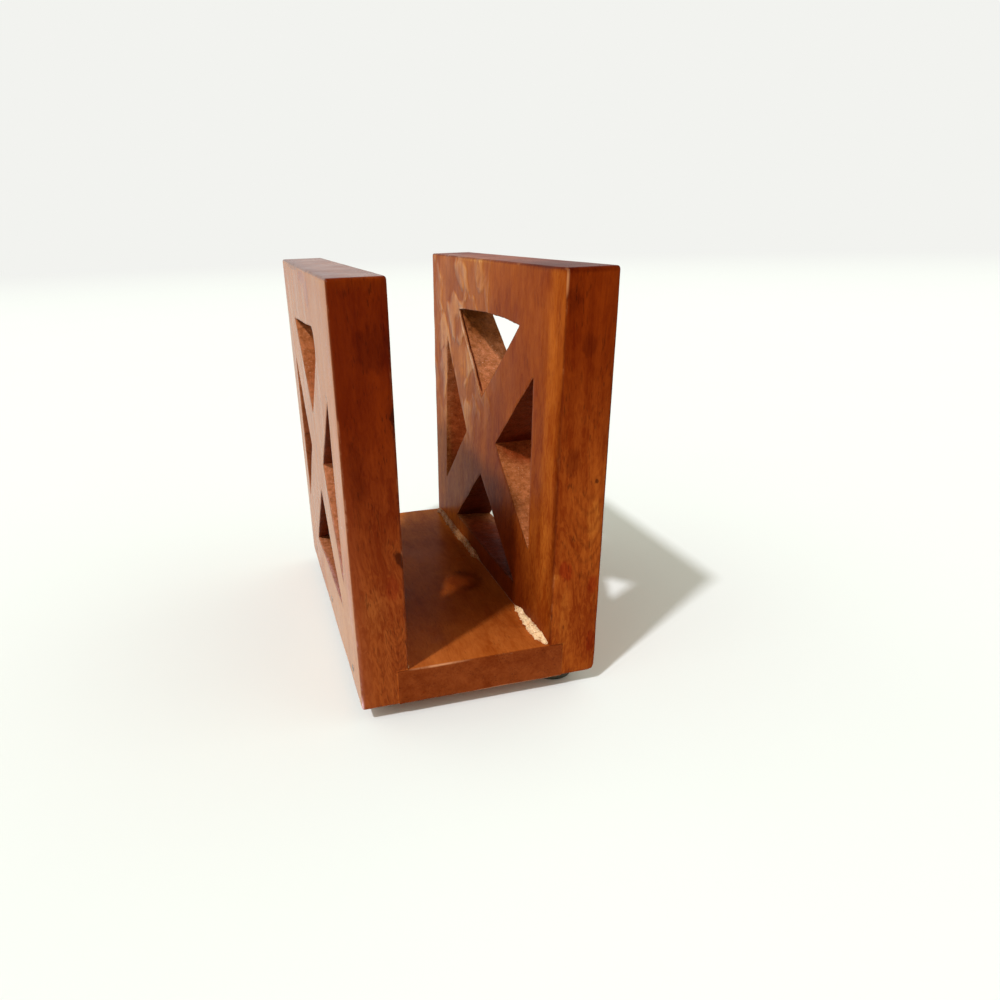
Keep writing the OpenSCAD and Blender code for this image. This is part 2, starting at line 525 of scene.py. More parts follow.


# What the hand did to each flat board: where its outer and inner faces lie at the foot
# and at the top, how the inner face rolls over towards the front edge (reach, amount),
# how far the outer foot is worn round, how wide the seam to the base board is, how high
# the runs of varnish stand on its inner face, and where its arrises are paler: worn at the
# foot, with a painted highlight at the top of the right panel's inner front arris.
LEFT_SHAPE = {
    "outer": (-44.5 * mm, -44.5 * mm),
    "inner": (-26.4 * mm, -26.7 * mm),
    "roll": (8 * mm, 0.4 * mm),
    "foot_round": 0.4 * mm,
    "seam": 0.01 * mm,
    "runs": 0.03 * mm,
    "wear_and_highlight": [(-33, -76, 5.5, 3, 2, 1), (-27, -76, 5.5, 2, 2, 1), (-44.5, -76, 8, 1.5, 2, 4)],
}
RIGHT_SHAPE = {
    "outer": (44.5 * mm, 43.5 * mm),
    "inner": (24.7 * mm, 25.35 * mm),
    "roll": (12 * mm, 0.9 * mm),
    "foot_round": 4.0 * mm,
    "seam": 0.04 * mm,
    "runs": 0.26 * mm,
    # The first place is a painted highlight at the top of the inner front arris; the second is wear along
    # the foot.
    "wear_and_highlight": [(25.4, -76, 144, 2, 3, 7), (33, -76, 5.5, 9, 2, 1)],
}
# The saw leaned while it cut the right panel's upper and lower triangles, so corners of
# them lie elsewhere on the outer face. The upper one's top edge is arched, and its back
# edge grooved.
FRONT_STRAY = np.array((2.0, -0.9)) * mm
LEAN_AT_FRONT = np.array((1.0, 0.0)) * mm
LEAN_AT_BACK = np.array((12.8, 0.0)) * mm
LEAN_AT_FOOT = np.array((6.0, 5.0)) * mm
LOWER_LEAN = np.array((5.2, -3.4)) * mm
ARCH = 1.3 * mm
GROOVE = 0.8 * mm


def panel_faces(shape, side, y, z, low, high):
    """Where a panel's outer and inner faces lie in x at the places (y, z)."""
    up = (z - low.z) / (high.z - low.z)
    outer = shape["outer"][0] + (shape["outer"][1] - shape["outer"][0]) * up
    inner = shape["inner"][0] + (shape["inner"][1] - shape["inner"][0]) * up
    reach, amount = shape["roll"]
    roll = np.clip(1 - (y - low.y) / reach, 0, 1) ** 2 * amount
    return outer, inner + side * roll


def leant(corners, leans, cut):
    """How far the points of an outline stray if the corners of its triangle stray by leans."""
    first, second, third = corners
    shares = np.linalg.solve(np.c_[first - third, second - third], (cut - third).T).T
    return np.clip(np.c_[shares, 1 - shares.sum(1)], 0, 1) @ np.array(leans)


def upper_triangle(loop):
    """What the leaning saw did to the upper triangle: its outline, how far each point
    strays on the outer face, and the groove along its back edge."""
    corners = sharp_corners(loop)
    front = corners[np.argmin(corners[:, 0] - corners[:, 1])] + FRONT_STRAY
    back, foot = corners[np.argmax(corners.sum(1))], corners[np.argmin(corners[:, 1])]
    cut = resampled(np.array((front, back, foot)), CUT_STEP)
    to_front, to_back = leant((front, back, foot), ((1, 0), (0, 1), (0, 0)), cut).T
    top = np.clip(10 * (to_front + to_back) - 9, 0, 1)
    arched = cut + np.c_[cut[:, 0] * 0, ARCH * top * 4 * to_front * to_back]
    lean = leant((front, back, foot), (LEAN_AT_FRONT, LEAN_AT_BACK, LEAN_AT_FOOT), cut)
    on_back_edge = np.clip(1 - to_front * 12, 0, 1) * np.clip(to_back * 5, 0, 1)
    on_back_edge *= np.clip((1 - to_back) * 8, 0, 1)
    return arched, lean, GROOVE * on_back_edge


def side_panel(node, side, shape):
    """Builds one panel round the triangles that are cut through its CAD node."""
    low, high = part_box(node)
    outer_x = low.x if side < 0 else high.x
    thickness = high.x - low.x
    board = Board(thickness)
    outline = rounded_outline((low.y, low.z), (high.y, high.z), END_ARRIS, EDGE_STEP)
    arris = ARRIS * (1 + ARRIS_VARIES * np.clip(wobble(outline, ARRIS_WAVE, side + 5), -1, 1))
    board.wall(outline, arris, arris, "edge")
    for number, loop in enumerate(openings_of(node, outer_x)):
        if area_of(loop) > 0:
            loop = loop[::-1]
        if np.ptp(loop, axis=0).max() < SMALL_HOLE:
            board.brad_hole(loop, HEAD_SINK, SHANK_SHARE)
            continue
        cut = resampled(loop, CUT_STEP)
        drift, groove = 0 * cut, 0.0
        if side > 0 and cut[:, 1].min() > (low.z + high.z) / 2:
            cut, drift, groove = upper_triangle(loop)
        if side > 0 and cut[:, 1].max() < (low.z + high.z) / 2:
            corners = sharp_corners(loop)
            leans = np.zeros((3, 2))
            leans[np.argmax(corners[:, 0] - corners[:, 1])] = LOWER_LEAN
            drift = leant(corners, leans, cut)
        stray = wobble(cut, SAW_STRAY_WAVE, number + 11 * side)
        cut = cut + into_wood(cut) * (SAW_STRAY * stray)[:, None]
        easing = CUT_ARRIS * (1 + CUT_ARRIS_VARIES * wobble(cut, CUT_ARRIS_WAVE, number + 31))
        board.wall(cut + drift, easing, easing, "sawn", -drift, groove, SAW_TOOTH, number + 41)
    points, faces, marks = board.finished()
    depth, y, z = points[:, 2], points[:, 0], points[:, 1]
    outer, inner = panel_faces(shape, side, y, z, low, high)
    share = depth / thickness
    lie = np.c_[y * 0, y, z * ALONG_GRAIN]
    ripple = SWELL * (1 + wobble(lie, SWELL_WAVE, side + 61))
    ripple += RIPPLE * (1 + wobble(lie, RIPPLE_WAVE, side + 67))
    x = outer + (inner - outer) * share - side * ripple * (1 - 2 * share)
    from_runs = np.hypot((y - RUNS_PLACE[0]) / RUNS_REACH[0], (z - RUNS_PLACE[1]) / RUNS_REACH[1])
    runs_here = np.clip(1.6 - 1.6 * from_runs, 0, 1)
    run = wobble(np.c_[y * 0.45, z * 0.5], RUN_WIDTH, side + 63)
    x -= side * shape["runs"] * runs_here * share ** 6 * run
    radius = shape["foot_round"]
    into, above = radius - side * (outer - x), radius - (z - low.z)
    far = np.hypot(into, above)
    cut_off = (into > 0) & (above > 0) & (far > radius)
    pull = np.where(cut_off, radius / np.maximum(far, 1e-9), 1)
    x = np.where(cut_off, outer - side * (radius - into * pull), x)
    z = np.where(cut_off, low.z + radius - above * pull, z)
    points = np.c_[x, y, z]
    marks["outer"] = 1 - share
    marks["wear_and_highlight"] = np.maximum(marks["wear_and_highlight"], wear_and_highlight_at(points, shape["wear_and_highlight"]) * marks["eased"])
    made = mesh_object(node.replace("_side", ""), points, faces, marks)
    shoulder = (base_low.x if side < 0 else base_high.x) + side * shape["seam"]
    beyond = 2 * thickness
    cut_low = (min(shoulder, shoulder - side * beyond), low.y - beyond, low.z - beyond)
    cut_high = (max(shoulder, shoulder - side * beyond), high.y + beyond, base_high.z + shape["seam"])
    cut_box(made, cut_low, cut_high)
    return made


def shared_group(name, inputs, outputs):
    """A shader node group: its tree, and its input and output sockets."""
    tree = bpy.data.node_groups.new(name, "ShaderNodeTree")
    for label, kind, value in inputs:
        socket = tree.interface.new_socket(label, in_out="INPUT", socket_type="NodeSocket" + kind)
        if value is not None:
            socket.default_value = value
    for label, kind in outputs:
        tree.interface.new_socket(label, in_out="OUTPUT", socket_type="NodeSocket" + kind)
    return tree, tree.nodes.new("NodeGroupInput").outputs, tree.nodes.new("NodeGroupOutput").inputs


def use_group(group, feeds):
    """Places a shared group in a material and feeds it by name."""
    return place("Group", feeds, node_tree=group).outputs


def vector_calc(operation, a, b=(0, 0, 0), c=(0, 0, 0)):
    """The vector output of a Vector Math node."""
    return place("VectorMath", {0: a, 1: b, 2: c}, operation=operation).outputs["Vector"]


def length_of(vector):
    """How long a vector is."""
    return place("VectorMath", {0: vector}, operation="LENGTH").outputs["Value"]


def part_of(vector, axis):
    """A vector's X, Y or Z."""
    return place("SeparateXYZ", {0: vector}).outputs[axis]


def surface(out, height, feeds):
    """Gives a material its shader. height is its relief in millimetres."""
    bump = place("Bump", {"Height": height, "Distance": mm})
    shader = place("BsdfPrincipled", {"Normal": bump.outputs[0], **feeds})
    feed(out.inputs["Surface"], shader.outputs[0])


def spot_in_mm(tree):
    """Where a point lies on its object, in millimetres."""
    spot = add_node(tree, "TexCoord").outputs["Object"]
    return place("VectorMath", {0: spot, "Scale": 1 / mm}, operation="SCALE").outputs[0]


def mark_of(tree, mark):
    """One of the marks that are stored on the mesh."""
    return add_node(tree, "Attribute", attribute_name=mark).outputs["Fac"]


def times(a, b, clamp=False):
    """a times b."""
    return calc("MULTIPLY", a, b, clamp=clamp)


def times_plus(a, b, c, clamp=False):
    """a times b, plus c."""
    return calc("MULTIPLY_ADD", a, b, c, clamp=clamp)


def tinted(share, colour, tint):
    """A colour that a tint darkens or lightens by share."""
    return mixed(share, colour, mixed(1.0, colour, tint, "MULTIPLY"))


def stretched(vector, across, along):
    """A vector in millimetres scaled for noise: across and along are the waves' sizes."""
    return vector_calc("MULTIPLY", vector, (1 / across, 1 / across, 1 / along))


def noise_of(vector, detail=2.0, roughness=0.5, distortion=0.0):
    """Noise of 0..1 at a vector that is scaled already."""
    feeds = {"Vector": vector, "Scale": 1.0, "Detail": detail}
    feeds |= {"Roughness": roughness, "Distortion": distortion}
    return place("TexNoise", feeds).outputs["Fac"]


# Grain of the wood: growth rings round a far pith, fibres and short pores along Z.
grain, given, result = shared_group(
    "grain",
    [
        ("Vector", "Vector", None),
        ("Light", "Color", (0.45, 0.13, 0.03, 1)),
        ("Dark", "Color", (0.2, 0.04, 0.01, 1)),
        ("Pore", "Color", (0.06, 0.010, 0.002, 1)),
        ("Ring Width", "Float", 3.5),
        ("Rings", "Float", 0.22),
        ("Fibres", "Float", 0.5),
        ("Blotches", "Float", 0.8),
        ("Figure", "Float", 0.3),
        ("Pores", "Float", 0.55),
    ],
    [("Color", "Color"), ("Height", "Float")],
)
spot = given["Vector"]
bend = place("TexNoise", {"Vector": stretched(spot, 45, 120), "Scale": 1.0, "Detail": 2.0})
shifted = vector_calc("ADD", bend.outputs["Color"], (-0.5, -0.5, -0.5))
pushed = vector_calc("MULTIPLY_ADD", shifted, (14, 14, 0), spot)
out_from_pith = length_of(vector_calc("MULTIPLY", pushed, (1, 1, 0)))
turns = calc("DIVIDE", out_from_pith, given["Ring Width"])
ring = ramp(calc("PINGPONG", turns, 0.5), 0.05, 0.45)
late = times(calc("POWER", calc("FRACT", turns), 3.0), 0.5)
ring = times_plus(ring, 0.6, late)
fibre = noise_of(stretched(pushed, 0.8, 22), 5.0, 0.62)
band = noise_of(stretched(pushed, 4.0, 60), 3.0)
blotch = noise_of(stretched(spot, 7, 15), 4.0, 0.6, 0.5)
broad = noise_of(stretched(spot, 24, 40), 2.0)
dash = noise_of(stretched(pushed, 0.45, 3.2), 1.0, 0.4)
dash_where = noise_of(stretched(pushed, 4.0, 14), 2.0)
pore = times(ramp(dash, 0.60, 0.70), ramp(dash_where, 0.42, 0.60))
shade = times(calc("SUBTRACT", ring, 0.45), given["Rings"])
threads = plus(times_plus(fibre, 0.9, -0.45), times_plus(band, 0.9, -0.45))
shade = times_plus(threads, times(given["Fibres"], 2.2), shade)
mottle = plus(calc("SUBTRACT", blotch, 0.5), calc("SUBTRACT", broad, 0.5))
shade = times_plus(mottle, times(given["Blotches"], 1.8), shade)
curl = noise_of(stretched(pushed, 1.5, 5.5), 3.0, 0.6, 1.4)
shade = times_plus(ramp(curl, 0.36, 0.62, -0.5, 0.5), given["Figure"], shade)
shade = plus(shade, 0.5, clamp=True)
wood_colour = mixed(shade, given["Dark"], given["Light"])
wood_colour = mixed(times(pore, given["Pores"]), wood_colour, given["Pore"])
height = times_plus(fibre, 0.03, times(pore, -0.03))
feed(result["Color"], wood_colour)
feed(result["Height"], height)

# A knot, a stain, or a patch of painted shade or painted light at one place: how dark it
# is there, and how the grain runs round it.
knot, given, result = shared_group(
    "knot",
    [
        ("Vector", "Vector", None),
        ("Centre", "Vector", (0, 0, 0)),
        ("Radii", "Vector", (2, 2, 4)),
        ("Lean", "Float", 0.0),
        ("Dark", "Float", 0.9),
        ("Ragged", "Float", 1.1),
    ],
    [("Vector", "Vector"), ("Dark", "Float")],
)
spot = given["Vector"]
offset = vector_calc("SUBTRACT", spot, given["Centre"])
aside = times(part_of(offset, "Z"), given["Lean"])
slanted = vector_calc("ADD", offset, place("CombineXYZ", {0: aside}).outputs[0])
span = length_of(vector_calc("DIVIDE", slanted, given["Radii"]))
ragged = noise_of(stretched(spot, 1.2, 2.6), 3.0, 0.6)
ragged = times(calc("SUBTRACT", ragged, 0.5), given["Ragged"])
core = ramp(plus(span, ragged), 0.55, 1.15, 1.0, 0.0)
halo = ramp(span, 0.9, 3.2, 1.0, 0.0)
pull = times(halo, -0.55)
pull = place("CombineXYZ", {0: pull, 1: pull}).outputs[0]
feed(result["Vector"], vector_calc("MULTIPLY_ADD", slanted, pull, spot))
feed(result["Dark"], times(times_plus(halo, 0.12, core, clamp=True), given["Dark"]))

# Runs of varnish that was brushed on too thick: broad upright blobs, glossier than the
# rest, with a golden painted highlight on their blobs.
runs, given, result = shared_group(
    "varnish_runs",
    [("Vector", "Vector", None), ("Centre", "Vector", (0, 0, 0)), ("Radii", "Vector", (5, 30, 30))],
    [("Height", "Float"), ("Gloss", "Float"), ("Painted Highlight", "Float")],
)
spot = given["Vector"]
offset = vector_calc("SUBTRACT", spot, given["Centre"])
span = length_of(vector_calc("DIVIDE", offset, given["Radii"]))
zone = ramp(span, 0.45, 1.1, 1.0, 0.0)
run = noise_of(vector_calc("MULTIPLY", spot, (0.1, 0.075, 0.075)), 2.0, 0.45, 0.6)
ridge = ramp(run, 0.47, 0.66)
feed(result["Height"], times(times(ridge, zone), 0.7))
feed(result["Gloss"], times(zone, times_plus(ridge, 0.22, 0.06)))
feed(result["Painted Highlight"], times(zone, times_plus(ridge, 0.80, 0.20)))

# Figure where the saw met the rings almost flat: lines in the shape of a U, one in another.
cathedral, given, result = shared_group(
    "cathedral",
    [
        ("Vector", "Vector", None),
        ("Centre", "Vector", (0, 0, 0)),
        ("Radii", "Vector", (8, 8, 14)),
        ("Bend", "Float", 0.3),
        ("Spacing", "Float", 3.2),
    ],
    [("Dark", "Float")],
)
spot = given["Vector"]
offset = vector_calc("SUBTRACT", spot, given["Centre"])
aside = part_of(offset, "X")
curve = times(times(aside, aside), given["Bend"])
waver = noise_of(stretched(spot, 3, 6), 3.0, 0.6)
rise = times_plus(waver, 5.0, calc("SUBTRACT", part_of(offset, "Z"), curve))
to_line = calc("PINGPONG", calc("DIVIDE", rise, given["Spacing"]), 0.5)
line = ramp(to_line, 0.02, 0.30, 1.0, 0.0)
near = ramp(length_of(vector_calc("DIVIDE", offset, given["Radii"])), 0.5, 1.1, 1.0, 0.0)
feed(result["Dark"], times(line, near))

# Hand finish: what sanding, sawing, handling and brushed varnish leave on the wood, from
# the marks on the mesh, with painted shade, painted highlights, painted glints and painted
# sheen. The edge tones run from the foot of the board to its top.
# Tints for painted shade on arrises and on walls that face down, and the colour of painted glints on sawn
# walls.
ARRIS_SHADE_TINT = (0.50, 0.40, 0.40, 1)
SHADE_UNDER_TINT = (0.25, 0.11, 0.08, 1)
PAINTED_GLINT = (0.80, 0.44, 0.28, 1)
finish, given, result = shared_group(
    "hand_finish",
    [
        ("Vector", "Vector", None),
        ("Color", "Color", (0.4, 0.1, 0.03, 1)),
        ("Height", "Float", 0.0),
        ("Edge Foot", "Color", (0.7, 0.6, 0.5, 1)),
        ("Edge Top", "Color", (0.5, 0.3, 0.2, 1)),
        ("Outer Sheen", "Color", (1.2, 1.5, 2.0, 1)),
        ("Inner", "Color", (1, 1, 1, 1)),
        ("Plain", "Color", (0.40, 0.080, 0.012, 1)),
        ("Hidden", "Float", 0.1),
        ("Tone From", "Float", 30.0),
        ("Tone To", "Float", 115.0),
        ("Wear And Highlight", "Color", (0.6, 0.25, 0.1, 1)),
        ("Sawn Light", "Color", (0.58, 0.19, 0.070, 1)),
        ("Sawn Dark", "Color", (0.30, 0.085, 0.022, 1)),
        ("Ripple", "Float", 1.0),
        ("Matt", "Float", 0.22),
        ("Arris Gloss", "Float", 0.03),
    ],
    [("Color", "Color"), ("Height", "Float"), ("Roughness", "Float"), ("Gloss", "Float")],
)
spot = given["Vector"]
sawn, edge, eased, wear_and_highlight, under, outer = (mark_of(finish, mark) for mark in (*MARKS, "outer"))
# The outer face is paler: partly lighter wood, partly painted sheen where its varnish shines at a grazing
# view. Hidden flattens its grain under that sheen.
outside = calc("POWER", outer, 3.0)
up = ramp(part_of(spot, "Z"), given["Tone From"], given["Tone To"])
edge_tone = mixed(up, given["Edge Foot"], given["Edge Top"])
tone = mixed(edge, mixed(outside, given["Inner"], given["Outer Sheen"]), edge_tone)
hidden = times(outside, given["Hidden"])
colour = mixed(1.0, mixed(hidden, given["Color"], given["Plain"]), tone, "MULTIPLY")
# Painted shade: arrises darkened where they turn away from the light.
colour = tinted(times(eased, 0.6), colour, ARRIS_SHADE_TINT)
patch = noise_of(stretched(spot, 5, 9), 4.0, 0.65)
# Pale arris colour: random wear along eased arrises, and wear and painted highlights at the places the
# mesh marks.
wear_and_highlight_mix = times(times(eased, ramp(patch, 0.54, 0.72)), 0.35)
wear_and_highlight_mix = calc("MAXIMUM", wear_and_highlight_mix, times(wear_and_highlight, ramp(patch, 0.30, 0.52)))
stroke = vector_calc("MULTIPLY", spot, (0.15, 0.8, 0.8))
kerf = noise_of(stroke, 3.0, 0.6)
fuzz = noise_of(stretched(spot, 0.9, 0.9), 4.0, 0.7)
lump = noise_of(stretched(spot, 2.8, 2.8), 3.0, 0.6)
cut_shade = times_plus(fuzz, 0.5, times(kerf, 0.30))
cut_shade = ramp(times_plus(lump, 0.6, cut_shade), 0.52, 0.90)
cut_colour = mixed(cut_shade, given["Sawn Dark"], given["Sawn Light"])
# Painted glints: small pale flecks on the sawn walls.
glint = noise_of(stretched(spot, 0.55, 0.55), 2.0, 0.5)
cut_colour = mixed(ramp(glint, 0.62, 0.74, 0.0, 0.55), cut_colour, PAINTED_GLINT)
# Painted shade: sawn walls that face down, and the groove, are darkened.
cut_colour = tinted(ramp(under, 0.10, 0.70), cut_colour, SHADE_UNDER_TINT)
colour = mixed(times(sawn, 0.94), colour, cut_colour)
colour = mixed(wear_and_highlight_mix, colour, given["Wear And Highlight"])
swell = noise_of(stretched(spot, 5.5, 16), 2.0)
brush = noise_of(stretched(spot, 1.4, 11), 2.0)
strokes = times(brush, times_plus(edge, 0.03, 0.01))
level = times_plus(swell, 0.22, strokes)
level = times(level, times(given["Ripple"], times_plus(edge, 0.7, 0.3)))
rough_cut = times_plus(kerf, 0.22, times(fuzz, 0.50))
rough_cut = times(sawn, times_plus(lump, 0.6, rough_cut))
height = plus(plus(given["Height"], level), rough_cut)
cloud = noise_of(stretched(spot, 14, 26), 3.0)
shine = times_plus(cloud, 0.16, given["Matt"])
shine = times_plus(sawn, 0.25, shine, clamp=True)
gloss = times_plus(eased, given["Arris Gloss"], times(sawn, 0.03))
gloss = times_plus(wear_and_highlight, 0.15, gloss)
polished = times(ramp(cloud, 0.50, 0.72), times_plus(edge, -0.045, 0.055))
gloss = plus(polished, gloss, clamp=True)
feed(result["Color"], colour)
feed(result["Height"], height)
feed(result["Roughness"], shine)
feed(result["Gloss"], gloss)


# Knots are almost black, lines of the figure brown, and runs of varnish carry a golden
# painted highlight. SOFT is how ragged a patch of painted shade or painted light without a
# clear edge is.
KNOT_COLOUR = (0.030, 0.004, 0.001, 1)
FIGURE_TINT = (0.52, 0.40, 0.34, 1)
RUN_HIGHLIGHT_TINT = (1.75, 3.0, 5.0, 1)
SOFT = 0.3


def stain_and_painted_light(centre, radii, tint, dark=0.9, ragged=1.1, lean=0.0, sawn=False):
    """A stain, or a patch of painted shade or painted light, for varnished_wood: where it lies
    and how far it reaches, in millimetres, what it multiplies the colour by, and whether only
    sawn walls take it."""
    place_of_stain = {"Centre": centre, "Radii": radii, "Dark": dark, "Ragged": ragged, "Lean": lean}
    return place_of_stain, (*tint, 1), sawn


def varnished_wood(name, pith, turn, ior, grain_values, finish_values, knots, stains_and_painted_light, figures, run_places):
    """Varnished hardwood. pith is where the log's middle lies from the board, in
    millimetres, and turn is how the board lay in the log, in degrees. The grain flows
    round knots; stains and patches of painted shade and painted light only colour it;
    figures are nested lines."""
    made, tree, out = new_material(name)
    large = spot_in_mm(tree)
    flow, dark = large, 0.0
    for values in knots:
        around = use_group(knot, {"Vector": large, **values})
        flow = vector_calc("ADD", flow, vector_calc("SUBTRACT", around["Vector"], large))
        dark = calc("MAXIMUM", dark, around["Dark"])
    turned = [math.radians(t) for t in turn]
    log = place("Mapping", {"Vector": flow, "Location": pith, "Rotation": turned}).outputs[0]
    wild = grain_values["Figure"]
    wild = ramp(part_of(large, "Z"), 30, 125, wild, wild * 0.45)
    on_edge, on_wall = mark_of(tree, "edge"), mark_of(tree, "sawn")
    fibres = times_plus(on_edge, 0.3, grain_values["Fibres"] - 0.3)
    pores = times_plus(on_edge, 0.20, 0.28)
    grain_feeds = {**grain_values, "Figure": wild, "Fibres": fibres, "Pores": pores}
    figure = use_group(grain, {"Vector": log, **grain_feeds})
    fine = times(figure["Height"], times_plus(on_edge, 0.7, 0.3))
    colour = figure["Color"]
    for values in figures:
        nested = use_group(cathedral, {"Vector": large, **values})
        colour = tinted(times(nested["Dark"], 0.42), colour, FIGURE_TINT)
    feeds = {"Vector": large, "Color": colour, "Height": fine, **finish_values}
    skin = use_group(finish, feeds)
    colour, height, gloss = skin["Color"], skin["Height"], skin["Gloss"]
    for values, tint, sawn_only in stains_and_painted_light:
        share = use_group(knot, {"Vector": large, **values})["Dark"]
        if sawn_only:
            share = times(share, on_wall)
        colour = tinted(share, colour, tint)
    if knots:
        colour = mixed(dark, colour, KNOT_COLOUR)
    for values in run_places:
        run = use_group(runs, {"Vector": large, **values})
        height = plus(height, run["Height"])
        gloss = plus(gloss, run["Gloss"], clamp=True)
        # Painted highlight: the runs' blobs are tinted golden and paler.
        painted_highlight = times(run["Painted Highlight"], calc("SUBTRACT", 1.0, on_wall))
        colour = tinted(painted_highlight, colour, RUN_HIGHLIGHT_TINT)
    feeds = {
        "Base Color": colour,
        "Roughness": skin["Roughness"],
        "IOR": ior,
        "Coat Weight": gloss,
        "Coat Roughness": 0.16,
        "Coat IOR": 1.42,
    }
    surface(out, height, feeds)
    return made


DARK_STAIN = (0.52, 0.38, 0.34)
RED_STAIN = (0.85, 0.48, 0.50)
PALE_STAIN = (1.30, 1.75, 2.10)
# A dark purple tint for painted shade along arrises that turn away from the light.
PAINTED_ARRIS_SHADE = (0.28, 0.20, 0.50)

left_wood = varnished_wood(
    "left_wood", (70, 12, 0), (2, 3, 0), 1.08,
    {
        "Light": (0.50, 0.115, 0.018, 1),
        "Dark": (0.28, 0.042, 0.005, 1),
        "Ring Width": 4.2,
        "Figure": 0.6,
        "Fibres": 0.5,
    },
    {
        "Edge Foot": (0.62, 0.57, 0.66, 1),
        "Edge Top": (0.34, 0.16, 0.06, 1),
        "Outer Sheen": (0.88, 1.25, 1.25, 1),
        "Hidden": 0.6,
        "Wear And Highlight": (0.60, 0.26, 0.11, 1),
        "Matt": 0.12,
        "Arris Gloss": 0.10,
    },
    [
        {"Centre": (-26.7, -76, 107), "Radii": (1.9, 3, 4.6), "Lean": 0.2},
        {"Centre": (-27.3, -76, 61), "Radii": (1.9, 3, 4.0), "Lean": 0.45, "Dark": 0.8},
        {"Centre": (-44.5, -52.7, 110.7), "Radii": (1, 0.8, 0.8)},
        {"Centre": (-44.5, -56, 11.8), "Radii": (1, 1.2, 0.9), "Dark": 0.35},
    ],
    [
        stain_and_painted_light((-32.6, -76, 127.8), (6, 2, 7), DARK_STAIN, dark=0.55),
        stain_and_painted_light((-40.0, -76, 92), (3, 2, 12), DARK_STAIN, dark=0.45),
        # Painted shade along the inner arris of the front edge.
        stain_and_painted_light((-26.2, -76, 108), (0.9, 2, 42), PAINTED_ARRIS_SHADE),
        stain_and_painted_light((-37, -76, 44), (4, 2, 9), PALE_STAIN, dark=0.5),
        stain_and_painted_light((-31, -76, 52), (2.5, 2, 5), RED_STAIN, dark=0.6),
        stain_and_painted_light((-44.5, -8, 144), (1, 12, 2.2), (0.80, 0.55, 0.80)),
        stain_and_painted_light((-44.5, -20, 139), (1, 7, 5), (0.80, 0.55, 0.80), dark=0.8),
        stain_and_painted_light((-44.5, 28, 146), (1, 26, 1.2), DARK_STAIN, dark=0.6),
        # Painted sheen: the outer face's foot, the top face and a strip near the front of the outer face
        # are made paler where the varnish would shine.
        stain_and_painted_light((-44.5, -34, 16), (2, 60, 46), (1.24, 1.85, 5.0), ragged=SOFT),
        stain_and_painted_light((-34, 0, 147.4), (9.3, 90, 1.6), (1.6, 3.2, 4.0), ragged=SOFT),
        stain_and_painted_light((-44.5, -68, 80), (2, 6, 50), (1.15, 1.25, 2.4), dark=0.8, ragged=SOFT),
        # Painted shade: the sawn walls of the triangles are darkened where they lie in shade.
        stain_and_painted_light((-36, -8, 114), (12, 40, 22), (0.76, 0.60, 0.56), ragged=SOFT, sawn=True),
        stain_and_painted_light((-36, 48, 70), (12, 26, 50), (0.50, 0.36, 0.30), ragged=SOFT, sawn=True),
        stain_and_painted_light((-36, -30, 40), (12, 60, 26), (0.62, 0.52, 0.45), dark=0.8, ragged=SOFT, sawn=True),
    ],
    [{"Centre": (-30.5, -76, 26), "Radii": (8, 8, 15), "Bend": 0.55}],
    [{"Centre": (-26.5, 36, 118), "Radii": (6, 34, 30)}],
)
finish_piece(side_panel("left_side_panel", -1, LEFT_SHAPE), "left_side_panel", left_wood)

